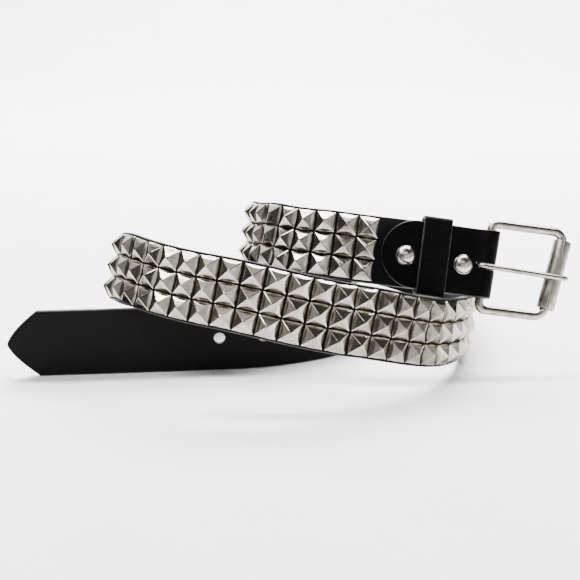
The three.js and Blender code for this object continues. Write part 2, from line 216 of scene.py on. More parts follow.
def on_strap(distance, across, out):
    """A point at a distance from the fold, across the width and out of the studded face."""
    share = min(max(distance / STRAP_LENGTH, 0), 1) * (len(PATH) - 1)
    i = min(math.floor(share), len(PATH) - 2)
    a, b = PATH[i], PATH[i + 1]
    beyond = distance - min(max(distance, 0), STRAP_LENGTH)
    place, along, up, away = (a[k].lerp(b[k], share - i) for k in range(4))
    return (
        place
        + along.normalized() * beyond
        + up.normalized() * across
        + away.normalized() * out
    )


def strap_frame(distance, out, across=0.0):
    """The place of a piece built on its own axes: x towards the buckle, y across, z out."""
    origin = on_strap(distance, across, out)
    y = (on_strap(distance, across + 1, out) - origin).normalized()
    z = on_strap(distance, across, out + 1) - origin
    x = y.cross(z).normalized()
    z = x.cross(y)
    place = Matrix((x, y, z)).transposed().to_4x4()
    place.translation = origin
    return place


def turned(degrees):
    """A turn in the buckle's plane, clockwise as the viewer sees it."""
    return Matrix.Rotation(-math.radians(degrees), 4, "Z")


HEEL_PLACE = strap_frame(HEEL_FROM_FOLD, HEEL_OUT) @ turned(HEEL_SLANT)
heel_joint = next(j for j in frame["joints"] if j["name"] == "frame_swing")
SHIFT = Vector(heel_joint["pos_m"]) / MM - HEEL_PLACE.translation


def linear(hex_colour):
    """An sRGB hex colour as the linear RGBA that a shader takes."""
    parts = [int(hex_colour[i : i + 2], 16) / 255 for i in (1, 3, 5)]
    return [p / 12.92 if p <= 0.04045 else ((p + 0.055) / 1.055) ** 2.4 for p in parts] + [1]


def add(tree, kind, settings=None, **links):
    """Adds a node. Settings go on its properties, sockets or ramp, links come from sockets."""
    node = tree.nodes.new(kind)
    for key, value in (settings or {}).items():
        if key == "stops":
            elements = node.color_ramp.elements
            while len(elements) < len(value):
                elements.new(0.5)
            for element, (position, colour) in zip(elements, value):
                element.position = position
                element.color = linear(colour) if isinstance(colour, str) else [colour] * 3 + [1]
        elif hasattr(node, key):
            setattr(node, key, value)
        else:
            node.inputs[key].default_value = value
    for key, source in links.items():
        tree.links.new(source, node.inputs[key])
    return node


def material(name, settings):
    """A named material with its Principled shader's own settings."""
    made = bpy.data.materials.new(name)
    made.use_nodes = True
    tree = made.node_tree
    shader = tree.nodes["Principled BSDF"]
    for key, value in settings.items():
        shader.inputs[key].default_value = value
    place = add(tree, "ShaderNodeTexCoord").outputs["Object"]
    return made, tree, shader, place


def surface(tree, shader, tones, colours, shines, height, strength, relief):
    """Gives a shader its colour, roughness and relief, each from a pattern.

    tones holds the colour's pattern, and then the roughness's where it has its own. colours and
    shines are stops: the pattern's value with a colour or a roughness. relief is millimetres.
    """
    colour = add(tree, "ShaderNodeValToRGB", {"stops": colours}, Fac=tones[0])
    shine = add(tree, "ShaderNodeValToRGB", {"stops": shines}, Fac=tones[-1])
    bump = add(
        tree, "ShaderNodeBump", {"Strength": strength, "Distance": relief * MM}, Height=height
    )
    tree.links.new(colour.outputs["Color"], shader.inputs["Base Color"])
    tree.links.new(shine.outputs["Color"], shader.inputs["Roughness"])
    tree.links.new(bump.outputs["Normal"], shader.inputs["Normal"])


def per_metre(millimetres):
    """A texture's scale for one feature in so many millimetres."""
    return 1 / (millimetres * MM)


# Real spacings of what each surface shows, in millimetres.
HIDE_PORES = 0.45
HIDE_TONES = 14
NAP = 0.7
CUT_FIBRES = 0.8
CUT_PATCHES = 9
PLATE_PATCHES = 5
PLATE_RIPPLES = 2.2
PAPER_TONES = 60

# The creases between a hide's pebbles take up this share of a pebble's width.
CREASE_SHARE = 0.16

# Polishing scratches run along z: their pattern changes this much more slowly that way.
SCRATCH_STRETCH = 0.08


def leather(name, light, dark, rough, pebble, relief, gloss):
    """Pebbled hide: cells between creases, with fine pores and slow changes of tone."""
    made, tree, shader, place = material(name, {"Specular IOR Level": gloss})
    cells = add(
        tree,
        "ShaderNodeTexVoronoi",
        {"feature": "DISTANCE_TO_EDGE", "Scale": per_metre(pebble), "Randomness": 0.95},
        Vector=place,
    )
    pores = add(
        tree, "ShaderNodeTexNoise", {"Scale": per_metre(HIDE_PORES), "Detail": 3.0}, Vector=place
    )
    tone = add(
        tree, "ShaderNodeTexNoise", {"Scale": per_metre(HIDE_TONES), "Detail": 4.0}, Vector=place
    )
    creases = add(
        tree,
        "ShaderNodeValToRGB",
        {"stops": [(0.0, 0.0), (CREASE_SHARE, 1.0)]},
        Fac=cells.outputs["Distance"],
    )
    hide = add(
        tree,
        "ShaderNodeMix",
        {"data_type": "FLOAT", "Factor": 0.35},
        A=creases.outputs["Color"],
        B=pores.outputs["Fac"],
    )
    surface(
        tree,
        shader,
        tones=[tone.outputs["Fac"]],
        colours=[(0.3, dark), (0.7, light)],
        shines=[(0.3, rough - 0.06), (0.7, rough + 0.08)],
        height=hide.outputs["Result"],
        strength=0.55,
        relief=relief,
    )
    return made


# Full-grain cowhide, drum dyed black and finished satin: soft small pebbles, a low even shine.
strap_leather = leather(
    "cowhide_satin_black", "#030303", "#010101", rough=0.46, pebble=1.3, relief=0.12, gloss=0.05
)

# The keeper is less pressed than the strap: its pebbles are bigger, deeper and a little glossier.
keeper_leather = leather(
    "cowhide_pebbled_black", "#030303", "#010101", rough=0.42, pebble=1.5, relief=0.35, gloss=0.05
)


def flesh_side():
    """The flesh side, dyed and buffed: matt, with a short even nap."""
    made, tree, shader, place = material(
        "cowhide_flesh_side_buffed", {"Specular IOR Level": 0.12, "Sheen Weight": 0.04}
    )
    nap = add(tree, "ShaderNodeTexNoise", {"Scale": per_metre(NAP), "Detail": 5.0}, Vector=place)
    surface(
        tree,
        shader,
        tones=[nap.outputs["Fac"]],
        colours=[(0.35, "#030303"), (0.7, "#0b0a0a")],
        shines=[(0.3, 0.75), (0.7, 0.92)],
        height=nap.outputs["Fac"],
        strength=0.6,
        relief=0.15,
    )
    return made


def cut_edge():
    """The knife-cut edge, only lightly dyed: its fibres show as a thin grey line."""
    made, tree, shader, place = material("cowhide_cut_edge", {"Specular IOR Level": 0.3})
    fibre = add(
        tree, "ShaderNodeTexNoise", {"Scale": per_metre(CUT_FIBRES), "Detail": 4.0}, Vector=place
    )
    patch = add(
        tree, "ShaderNodeTexNoise", {"Scale": per_metre(CUT_PATCHES), "Detail": 2.0}, Vector=place
    )
    both = add(
        tree,
        "ShaderNodeMix",
        {"data_type": "FLOAT", "Factor": 0.5},
        A=fibre.outputs["Fac"],
        B=patch.outputs["Fac"],
    )
    surface(
        tree,
        shader,
        tones=[both.outputs["Result"], fibre.outputs["Fac"]],
        colours=[(0.35, "#0e0d0d"), (0.5, "#242322"), (0.68, "#474542")],
        shines=[(0.3, 0.5), (0.7, 0.7)],
        height=fibre.outputs["Fac"],
        strength=0.5,
        relief=0.12,
    )
    return made


# Worn nickel keeps less of the light that grazes it than a clean mirror does.
NICKEL_EDGE = linear("#bfbdb8")


def plated(name, bright, dull, polish, scratch, relief):
    """Nickel plate over steel: a warm mirror, dulled in patches, with hairline scratches."""
    made, tree, shader, place = material(name, {"Metallic": 1.0, "Specular Tint": NICKEL_EDGE})
    patch = add(
        tree, "ShaderNodeTexNoise", {"Scale": per_metre(PLATE_PATCHES), "Detail": 5.0}, Vector=place
    )
    ripple = add(
        tree, "ShaderNodeTexNoise", {"Scale": per_metre(PLATE_RIPPLES), "Detail": 2.0}, Vector=place
    )
    stretch = add(tree, "ShaderNodeMapping", {"Scale": (1.0, 1.0, SCRATCH_STRETCH)}, Vector=place)
    lines = add(
        tree,
        "ShaderNodeTexNoise",
        {"Scale": per_metre(scratch), "Detail": 6.0, "Roughness": 0.7},
        Vector=stretch.outputs["Vector"],
    )
    both = add(
        tree,
        "ShaderNodeMix",
        {"data_type": "FLOAT", "Factor": 0.3},
        A=ripple.outputs["Fac"],
        B=lines.outputs["Fac"],
    )
    surface(
        tree,
        shader,
        tones=[patch.outputs["Fac"]],
        colours=[(0.32, dull), (0.62, bright)],
        shines=[(0.3, polish + 0.1), (0.65, polish)],
        height=both.outputs["Result"],
        strength=0.35,
        relief=relief,
    )
    return made


# Stamped steel studs, bright nickel plate: each facet mirrors one part of the room.
stud_nickel = plated(
    "steel_stamped_nickel_plated", "#b3aea5", "#938d83", polish=0.13, scratch=0.5, relief=0.012
)

# The snaps' domed caps are pressed thin and polished after plating.
snap_nickel = plated(
    "brass_pressed_nickel_plated", "#c4c1ba", "#a8a39b", polish=0.17, scratch=0.6, relief=0.01
)

# The buckle is bent from drawn wire and barrel polished: a grey mirror with a faint ripple.
buckle_nickel = plated(
    "steel_wire_nickel_plated", "#a9a69d", "#87837a", polish=0.17, scratch=0.5, relief=0.02
)

# The roller is tube rolled from strip and only tumbled: a softer, duller mirror.
roller_nickel = plated(
    "steel_tube_rolled_nickel_plated", "#a3a197", "#7d7a71", polish=0.27, scratch=0.5, relief=0.02
)


def onto_belt(point):
    """A point of the belt's own millimetres in the model's metres."""
    return (Vector(point) + SHIFT) * MM


def mesh_object(name, points, faces, finishes, body, replaced=(), kinds=None):
    """A mesh from points and faces, smooth apart from its sharp edges, riding on its body."""
    data = bpy.data.meshes.new(name)
    data.from_pydata([onto_belt(p) for p in points], [], faces)
    for finish in finishes:
        data.materials.append(finish)
    if kinds:
        data.polygons.foreach_set("material_index", kinds)
    data.polygons.foreach_set("use_smooth", [True] * len(faces))
    data.validate()
    made = bpy.data.objects.new(name, data)
    bpy.context.scene.collection.objects.link(made)
    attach(made, body)
    if replaced:
        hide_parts(*replaced)
    return made


def loft(rings, closed=False, kind_of=None):
    """Faces through rings that all have the same number of points, with each face's kind."""
    count = len(rings[0])
    faces = []
    kinds = []
    for i in range(len(rings) if closed else len(rings) - 1):
        here = i * count
        far = (i + 1) % len(rings) * count
        for j in range(count):
            k = (j + 1) % count
            faces.append((here + j, here + k, far + k, far + j))
            kinds.append(kind_of(j) if kind_of else 0)
    if not closed:
        end = (len(rings) - 1) * count
        faces.append(tuple(reversed(range(count))))
        faces.append(tuple(range(end, end + count)))
        kinds += [kind_of(0) if kind_of else 0] * 2
    return [p for ring in rings for p in ring], faces, kinds


def sharpen(made, degrees):
    """Marks the edges that turn by more than an angle as sharp."""
    made.data.set_sharp_from_angle(angle=math.radians(degrees))


# The strap's section is a flat loop with rounded corners: (across, through) pairs, where through
# runs from the flesh side to the grain side. Each face of a ring has the finish of its side.
ARC_STEPS = 3
FLAT_STEPS = 6
GRAIN, EDGE, FLESH = 0, 1, 2


def section(half_width):
    """The section's points, corner by corner, and the finish of the face after each."""
    r = min(EDGE_ROUND, half_width)
    w, t = half_width - r, HALF_THICK - EDGE_ROUND
    points = []
    kinds = []
    for side_w, side_t, start in ((-1, 1, 1), (-1, -1, 2), (1, -1, 3), (1, 1, 4)):
        for step in range(ARC_STEPS + 1):
            angle = QUARTER * (start + step / ARC_STEPS)
            points.append(
                (side_w * w + r * math.cos(angle), side_t * t + EDGE_ROUND * math.sin(angle))
            )
            kinds.append(EDGE)
        if start in (2, 4):
            kinds[-1] = FLESH if start == 2 else GRAIN
            end = -side_w * w
            for step in range(1, FLAT_STEPS):
                share = step / FLAT_STEPS
                points.append((side_w * w + (end - side_w * w) * share, side_t * HALF_THICK))
                kinds.append(kinds[-1])
    return points, kinds


SECTION_KINDS = section(HALF_WIDTH)[1]


def fold_slant(distance):
    """How far the strap leans towards the buckle for its width, fading out along the strap."""
    past = min(max((distance - HEEL_FROM_FOLD) / SLANT_RUN, 0), 1)
    return HEEL_TAN * (1 - past * past * (3 - 2 * past))


def strap_ring(distance, out, angle, half_width):
    """The section set at a distance from the fold, turned in the plane of its bend."""
    lean = fold_slant(distance)
    return [
        on_strap(distance - math.cos(angle) * t - w * lean, w, out + math.sin(angle) * t)
        for w, t in section(half_width)[0]
    ]


def fold_opening(distance):
    """How far each layer of the fold stands off its flat run, easing to nothing."""
    past = min(max((distance - HEEL_FROM_FOLD) / FOLD_BLEND, 0), 1)
    return (FOLD_RADIUS - HEEL_OUT) * (1 - past * past * (3 - 2 * past))


# How many rings each stretch of the strap has, or how far apart they are in millimetres. The
# rings of the point crowd towards its tip.
FLAP_STEPS = 24
FLAP_STEP = 2
BLEND_STEPS = 8
FOLD_STEPS = 16
STRAP_STEP = 2.5
TIP_STEPS = 24
TIP_EASE = 1.6


def strap_rings():
    """The strap's rings: the round flap, the fold round the heel bar, the coil and the point."""
    rings = []
    centre = FLAP_LENGTH - HALF_WIDTH
    for turn in range(1, FLAP_STEPS):
        angle = turn / FLAP_STEPS * QUARTER
        width = HALF_WIDTH * math.sin(angle)
        rings.append(strap_ring(centre + HALF_WIDTH * math.cos(angle), FLAP_OUT, QUARTER, width))
    blend = [
        HEEL_FROM_FOLD + step / BLEND_STEPS * FOLD_BLEND for step in range(BLEND_STEPS, 0, -1)
    ]
    flat = [centre - step * FLAP_STEP for step in range(math.ceil(centre / FLAP_STEP))]
    for distance in [d for d in flat if d > blend[0] + 1] + blend:
        rings.append(strap_ring(distance, FLAP_OUT + fold_opening(distance), QUARTER, HALF_WIDTH))
    for turn in range(FOLD_STEPS + 1):
        angle = QUARTER - turn / FOLD_STEPS * math.pi
        distance = HEEL_FROM_FOLD - FOLD_RADIUS * math.cos(angle)
        out = HEEL_OUT + FOLD_RADIUS * math.sin(angle)
        rings.append(strap_ring(distance, out, angle, HALF_WIDTH))
    for distance in reversed(blend):
        rings.append(strap_ring(distance, -fold_opening(distance), -QUARTER, HALF_WIDTH))
    shoulder = STRAP_LENGTH - TIP_LENGTH
    steps = round((shoulder - blend[0]) / STRAP_STEP)
    for step in range(1, steps):
        distance = blend[0] + (shoulder - blend[0]) * step / steps
        rings.append(strap_ring(distance, 0, -QUARTER, HALF_WIDTH))
    for step in range(TIP_STEPS, 0, -1):
        share = (step / TIP_STEPS) ** TIP_EASE
        width = HALF_WIDTH * share**TIP_BULGE
        rings.append(strap_ring(STRAP_LENGTH - share * TIP_LENGTH, 0, -QUARTER, width))
    return rings


def cutter(points, faces):
    """A hidden solid that cuts the strap: the faces it leaves are cut edge."""
    data = bpy.data.meshes.new("cutter")
    data.from_pydata([onto_belt(p) for p in points], [], faces)
    for _ in range(3):
        data.materials.append(edge_leather)
    data.polygons.foreach_set("material_index", [EDGE] * len(faces))
    made = bpy.data.objects.new("cutter", data)
    bpy.context.scene.collection.objects.link(made)
    return made


def cylinder(place, radius, reach, sides=40):
    """The points and faces of a punch on the place's z axis."""
    rings = [
        [
            place @ Vector((radius * math.cos(a), radius * math.sin(a), end))
            for a in (j / sides * 2 * math.pi for j in range(sides))
        ]
        for end in (-reach, reach)
    ]
    return loft(rings)[:2]


def slot_box():
    """The points and faces of the long punch that opens the prong's slot across the fold."""
    half = SLOT_WIDTH / 2
    deep = 2 * HEEL_FROM_FOLD
    corners = [(-half, -deep), (half, -deep), (half, deep), (-half, deep)]
    rings = [
        [HEEL_PLACE @ Vector((x, y - PRONG_DROP, z)) for y, z in corners]
        for x in (-SLOT_REACH, 2 * HEEL_FROM_FOLD)
    ]
    return loft(rings)[:2]


def cut(made, cutters):
    """Applies the cutters to a mesh and removes them."""
    for tool in cutters:
        modifier = made.modifiers.new("cut", "BOOLEAN")
        modifier.object = tool
        modifier.solver = "EXACT"
        modifier.operation = "DIFFERENCE"
    bpy.context.view_layer.update()
    graph = bpy.context.evaluated_depsgraph_get()
    cut_mesh = bpy.data.meshes.new_from_object(made.evaluated_get(graph))
    made.modifiers.clear()
    made.data = cut_mesh
    for tool in cutters:
        bpy.data.objects.remove(tool)


edge_leather = cut_edge()
points, faces, kinds = loft(strap_rings(), kind_of=lambda j: SECTION_KINDS[j])
strap = mesh_object(
    "strap_leather",
    points,
    faces,
    [strap_leather, edge_leather, flesh_side()],
    "root",
    ["strap"],
    kinds,
)
tools = [cutter(*slot_box())]
for distance, across in SNAPS:
    place = strap_frame(distance, HEEL_OUT, across)
    tools.append(cutter(*cylinder(place, SNAP_SHANK / 2 + GAP, 4 * STRAP_THICK)))
for hole in range(HOLE_COUNT):
    distance = STRAP_LENGTH - FIRST_HOLE_FROM_TIP - hole * HOLE_PITCH
    place = strap_frame(distance, 0)
    tools.append(cutter(*cylinder(place, HOLE_DIAMETER / 2, 2 * STRAP_THICK)))
cut(strap, tools)
sharpen(strap, 50)


STUD_HALF = STUD_BASE / 2
STUD_TOP = STUD_WEB + STUD_RISE

# How far in the rings stand, as shares of a stud's half side: those of the rolled skirt, and
# those up the flat facets with the share of the ridge's width that is left there.
SKIRT_RINGS = (0.45, 1.0)
FACET_RINGS = ((0.62, 1.0), (0.3, 0.9), (0.07, 0.5))


def facet_height(away):
    """How high a stud's flat facet stands over its foot, at a distance from its axis."""
    return STUD_TOP - (STUD_TOP - STUD_SHOULDER) * away / STUD_HALF


def stud_points(place):
    """A pressed stud's rings: its foot, a skirt rolled over each side's middle, flat facets."""
    made = []

    def ring(away_at, height_at, ridge):
        """Adds one ring of four sides, each joined to the next across a ridge."""
        points = []
        for side in range(4):
            turn = side * QUARTER
            for step in range(STUD_STEPS + 1):
                share = step / STUD_STEPS
                away = away_at(4 * share * (1 - share))
                along = (away_at(0) - ridge) * (2 * share - 1)
                x = math.cos(turn) * away - math.sin(turn) * along
                y = math.sin(turn) * away + math.cos(turn) * along
                points.append(place @ Vector((x, y, height_at(away))))
        made.append(points)

    ring(lambda crown: STUD_HALF, lambda away: 0.0, STUD_RIDGE)
    ring(lambda crown: STUD_HALF, lambda away: STUD_LIP, STUD_RIDGE)
    for share in SKIRT_RINGS:
        inset = STUD_RIM + (1 - STUD_ROLL) * (share - 1) * STUD_RIM
        ring(
            lambda crown: STUD_HALF - (inset + STUD_SKIRT * crown) * share,
            lambda away: facet_height(away) - (STUD_ROLL if share < 1 else 0.0),
            STUD_RIDGE,
        )
    for share, ridge in FACET_RINGS:
        side = STUD_HALF * share
        ring(lambda crown: side, facet_height, STUD_RIDGE * ridge)
    return made, place @ Vector((0, 0, STUD_TOP - STUD_BLUNT))


def stud_width(distance, across, foot):
    """How wide a stud may be along the strap: less where a bend crowds its row."""
    spans = []
    for side in (-STUD_HALF, STUD_HALF):
        here = on_strap(distance, across + side, foot)
        for way in (-STUD_PITCH, STUD_PITCH):
            spans.append((on_strap(distance + way, across + side, foot) - here).length)
    return min(STUD_BASE, min(spans) - STUD_CLEAR)


def stud_field():
    """All the studs, each a rigid stamping set on the strap, a hair out of true."""
    chance = random.Random(STUD_SEED)
    points, faces = [], []
    foot = HALF_THICK + STUD_SEAT
    for i in range(STUD_COLUMNS):
        for j in range(STUD_ROWS):
            distance = STUDS_FROM_FOLD + (i + 0.5) * STUD_PITCH
            across = (j + 0.5 - STUD_ROWS / 2) * STUD_PITCH
            tilt = [math.radians(chance.gauss(0, STUD_TILT)) for _ in range(3)]
            place = strap_frame(distance, foot, across)
            place = place @ Matrix.Rotation(tilt[0], 4, "X") @ Matrix.Rotation(tilt[1], 4, "Y")
            place = place @ Matrix.Rotation(tilt[2] * STUD_TWIST_SHARE, 4, "Z")
            narrow = stud_width(distance, across, foot) / STUD_BASE
            place = place @ Matrix.Diagonal((narrow, 1, 1, 1))
            rings, apex = stud_points(place)
            start = len(points)
            count = len(rings[0])
            more, walls, _ = loft(rings)
            points += more
            faces += [tuple(start + v for v in face) for face in walls[:-1]]
            points.append(apex)
            last = start + (len(rings) - 1) * count
            top = len(points) - 1
            faces += [(last + k, last + (k + 1) % count, top) for k in range(count)]
    return points, faces


points, faces = stud_field()
studs = mesh_object("pyramid_studs", points, faces, [stud_nickel], "root", ["studs"])
sharpen(studs, 17)


# How many steps the keeper's shape has: round each bend, up its ends and along its sides, and
# in its section round each edge and across each face.
KEEPER_BEND_STEPS = 8
KEEPER_END_STEPS = 4
KEEPER_SIDE_STEPS = 14
KEEPER_ROUND_STEPS = 3
KEEPER_FACE_STEPS = 6


def keeper_rings():
    """The band's rings: a rounded oblong section swept round both layers of the strap."""
    reach = HALF_WIDTH + KEEPER_SIDE_ROOM + KEEPER_WALL
    depth = HEEL_OUT + HALF_THICK + GAP + KEEPER_WALL
    place = strap_frame(KEEPER_FROM_FOLD, HEEL_OUT)
    stations = []
    corners = [(1, 1, 0), (-1, 1, 1), (-1, -1, 2), (1, -1, 3)]
    for n, (side_z, side_y, start) in enumerate(corners):
        centre = Vector((side_z * (depth - KEEPER_CORNER), side_y * (reach - KEEPER_CORNER)))
        arc = []
        for step in range(KEEPER_BEND_STEPS + 1):
            angle = QUARTER * (start + step / KEEPER_BEND_STEPS)
            way = Vector((math.cos(angle), math.sin(angle)))
            arc.append((centre + way * KEEPER_CORNER, way))
        stations += arc
        next_z, next_y, _ = corners[(n + 1) % 4]
        end = Vector((next_z * (depth - KEEPER_CORNER), next_y * (reach - KEEPER_CORNER)))
        way = arc[-1][1]
        count = KEEPER_SIDE_STEPS if n % 2 else KEEPER_END_STEPS
        for step in range(1, count):
            share = step / count
            stations.append((centre.lerp(end, share) + way * KEEPER_CORNER, way))
    half, wall, r = KEEPER_WIDTH / 2, KEEPER_WALL, KEEPER_ROUND
    profile = []
    for side, deep, start in ((1, 0, 0), (-1, 0, 1), (-1, 1, 2), (1, 1, 3)):
        x0 = side * (half - r)
        d0 = r if deep == 0 else wall - r
        for step in range(KEEPER_ROUND_STEPS + 1):
            angle = QUARTER * (start + step / KEEPER_ROUND_STEPS)
            profile.append((x0 + r * math.cos(angle), d0 - r * math.sin(angle)))
        if side == 1 and deep == 0 or side == -1 and deep == 1:
            for step in range(1, KEEPER_FACE_STEPS):
                share = step / KEEPER_FACE_STEPS
                profile.append((x0 * (1 - 2 * share), 0.0 if deep == 0 else wall))
    rings = []
    for spot, way in stations:
        ring = []
        for x, inward in profile:
            at = spot - way * inward
            ring.append(place @ Vector((x, at.y, at.x)))
        rings.append(ring)
    return rings, profile


rings, keeper_profile = keeper_rings()


def keeper_kind(j):
    """Grain on the band's two flat sides, cut edge on its rounded ones."""
    a, b = keeper_profile[j], keeper_profile[(j + 1) % len(keeper_profile)]
    flat = abs(a[1] - b[1]) < 1e-6
    return 0 if flat else 1


points, faces, kinds = loft(rings, closed=True, kind_of=keeper_kind)
# The loft leaves this band's faces pointing in, so they are turned over.
faces = [tuple(reversed(face)) for face in faces]
keeper = mesh_object(
    "keeper_band",
    points,
    faces,
    [keeper_leather, edge_leather],
    "root",
    ["keeper"],
    kinds,
)
sharpen(keeper, 60)


def lathe(place, profile, sides):
    """A turned body on the place's z axis from (radius, height) pairs, closed on the axis."""
    rings = [
        [
            place @ Vector((radius * math.cos(a), radius * math.sin(a), height))
            for a in (j / sides * 2 * math.pi for j in range(sides))
        ]
        for radius, height in profile
    ]
    return loft(rings)


# The snap's cap: its underside's height over the flap's face, how far its rolled rim comes in
# and stands up, what its dome rises over SNAP_RISE, and how deep its back is hollowed.
SNAP_SEAT = 0.05
SNAP_RIM = 0.3
SNAP_RIM_HIGH = 0.78
SNAP_DOME_MORE = 0.25
SNAP_DOME_STEPS = 14
SNAP_BACK_HOLLOW = 0.35

# The least radius of a ring at a turned body's middle.
MIDDLE_RADIUS = 0.02


def snap_profile():
    """The snap's outline from the hollow in its back, by its shank, to the top of its dome."""
    back = -HALF_THICK - GAP
    front = FLAP_FACE + SNAP_SEAT
    cap, low = SNAP_DIAMETER / 2, SNAP_BACK_DIAMETER / 2
    foot = back - SNAP_BACK_THICK
    hollow = foot + SNAP_BACK_HOLLOW
    profile = [(MIDDLE_RADIUS, hollow), (1.6, hollow), (2.1, foot), (low - 0.3, foot)]
    profile += [(low, foot + 0.3), (low, back - 0.2), (low - 0.2, back), (SNAP_SHANK / 2, back)]
    profile += [(SNAP_SHANK / 2, front), (cap - 0.35, front), (cap - 0.08, front + 0.08)]
    profile += [(cap, front + 0.32), (cap - 0.06, front + 0.6)]
    dome, spring = cap - SNAP_RIM, front + SNAP_RIM_HIGH
    profile.append((dome, spring))
    rise = SNAP_RISE + SNAP_DOME_MORE - SNAP_RIM_HIGH
    for step in range(1, SNAP_DOME_STEPS + 1):
        angle = step / SNAP_DOME_STEPS * QUARTER
        radius = max(dome * math.cos(angle), MIDDLE_RADIUS)
        profile.append((radius, spring + rise * math.sin(angle)))
    return profile


for number, (distance, across) in enumerate(SNAPS, 1):
    place = strap_frame(distance, 0, 0) @ Matrix.Translation((0, across, 0))
    points, faces, _ = lathe(place, snap_profile(), 64)
    snap = mesh_object(
        f"snap_cap_{number}",
        points,
        faces,
        [snap_nickel],
        "root",
        [f"snap_{number}"],
    )
    sharpen(snap, 35)


def bar(path, radii, sides, across, closed=False):
    """A round bar along points in a plane that the across direction stands on."""
    rings = []
    count = len(path)
    for i, point in enumerate(path):
        after = path[(i + 1) % count] if closed else path[min(i + 1, count - 1)]
        before = path[i - 1] if closed or i else path[0]
        along = (after - before).normalized()
        side = along.cross(across)
        ring = []
        for j in range(sides):
            angle = j / sides * 2 * math.pi
            way = across * math.cos(angle) + side * math.sin(angle)
            ring.append(HEEL_PLACE @ (point + way * radii(i)))
        rings.append(ring)
    return loft(rings, closed)


def slanted(x, y):
    """A point of the frame, with its upright bars leaning as the fold does, and more in front."""
    slant = HEEL_TAN + (FRONT_TAN - HEEL_TAN) * x / HEEL_TO_FRONT
    return turned(-HEEL_SLANT) @ Vector((x + y * slant, y, 0))


FRAME_CORNER_STEPS = 12


def frame_path():
    """The middle line of the frame's wire, round its four corners."""
    corners = [(HEEL_TO_FRONT, 1, FRAME_CORNER), (0, 1, HEEL_CORNER)]
    corners += [(0, -1, HEEL_CORNER), (HEEL_TO_FRONT, -1, FRAME_CORNER)]
    path = []
    for i, (x, side, radius) in enumerate(corners):
        centre_x = radius if x == 0 else x - radius
        centre_y = side * (FRAME_HEIGHT / 2 - radius) - FRAME_DROP
        for step in range(FRAME_CORNER_STEPS + 1):
            angle = (i + step / FRAME_CORNER_STEPS) * QUARTER
            path.append(
                slanted(centre_x + radius * math.cos(angle), centre_y + radius * math.sin(angle))
            )
    return path


points, faces, _ = bar(frame_path(), lambda i: WIRE_DIAMETER / 2, 32, Vector((0, 0, 1)), True)
mesh_object(
    "buckle_wire", points, faces, [buckle_nickel], "frame", ["buckle_frame"]
)


FRONT_PLACE = (
    HEEL_PLACE
    @ Matrix.Translation(slanted(HEEL_TO_FRONT, -FRAME_DROP))
    @ turned(FRONT_SLANT - HEEL_SLANT)
)


ROLLER_SIDES = 72

# The chamfer at the roller's bore, the share of its outer chamfer left at the rounded corner,
# and the angle round it at which its seam lies.
ROLLER_BORE_CHAMFER = 0.2
ROLLER_CORNER = 0.3
ROLLER_SEAM_AT = 1.45 * math.pi


def roller_rings():
    """The roller, rolled from sheet: its butt seam is a fine groove along it."""
    inner, outer = ROLLER_BORE / 2, ROLLER_DIAMETER / 2
    end = ROLLER_LENGTH / 2
    chamfer, bore = ROLLER_CHAMFER, ROLLER_BORE_CHAMFER
    corner = chamfer * ROLLER_CORNER
    profile = [(inner, -end + bore), (inner + bore, -end), (outer - chamfer, -end)]
    profile += [(outer - corner, -end + corner), (outer, -end + chamfer)]
    profile += [(outer, -end / 2), (outer, 0), (outer, end / 2)]
    profile += [(outer, end - chamfer), (outer - corner, end - corner)]
    profile += [(outer - chamfer, end), (inner + bore, end), (inner, end - bore)]
    rings = []
    for radius, height in profile:
        ring = []
        for j in range(ROLLER_SIDES):
            angle = j / ROLLER_SIDES * 2 * math.pi + ROLLER_SEAM_AT
            r = radius - (ROLLER_SEAM if j == 0 and radius > inner + 0.5 else 0)
            ring.append(
                FRONT_PLACE @ Vector((r * math.cos(angle), height, -r * math.sin(angle)))
            )
        rings.append(ring)
    return rings


points, faces, _ = loft(roller_rings(), closed=True)
roller = mesh_object(
    "roller_tube", points, faces, [roller_nickel], "roller", ["roller"]
)
sharpen(roller, 30)


# The prong's eye is three quarters of a turn. Its tip's points lie at these shares of its length
# past the roller, and its last ones have these shares of its thickness.
EYE_STEPS = 36
EYE_TURN = 1.5 * math.pi
PRONG_STEPS = 6
TIP_POINTS = (0.35, 0.6, 0.8, 0.92, 1.0)
TIP_TAPER = {0: 0.45, 1: 0.78, 2: 0.94}


def prong_path():
    """The prong's middle line: round its eye, up to the roller, and over it to the tip."""
    path = []
    for i in range(EYE_STEPS + 1):
        angle = i / EYE_STEPS * EYE_TURN
        spot = (PRONG_OFFSET * math.cos(angle), -PRONG_DROP, -PRONG_OFFSET * math.sin(angle))
        path.append(Vector(spot))
    rest = ROLLER_DIAMETER / 2 + GAP + PRONG_DIAMETER / 2
    start = path[-1]
    lift = math.tan(math.radians(PRONG_LIFT))
    bend_x = HEEL_TO_FRONT - ROLLER_DIAMETER / 2
    bend = Vector((bend_x, bend_x * lift - PRONG_DROP, rest))
    path += [start.lerp(bend, step / PRONG_STEPS) for step in range(1, PRONG_STEPS + 1)]
    tip = HEEL_TO_FRONT + ROLLER_DIAMETER / 2 + PRONG_PAST_ROLLER
    for share in TIP_POINTS:
        x = bend.x + (tip - bend.x) * share
        path.append(Vector((x, x * lift - PRONG_DROP, rest)))
    return path


prong_line = prong_path()


def prong_radius(i):
    """Full thickness up to the last points, which taper to a blunt tip."""
    return PRONG_DIAMETER / 2 * TIP_TAPER.get(len(prong_line) - 1 - i, 1.0)


points, faces, _ = bar(prong_line, prong_radius, 24, Vector((0, 1, 0)))
prong = mesh_object(
    "prong_rod", points, faces, [buckle_nickel], "prong", ["prong"]
)
sharpen(prong, 50)

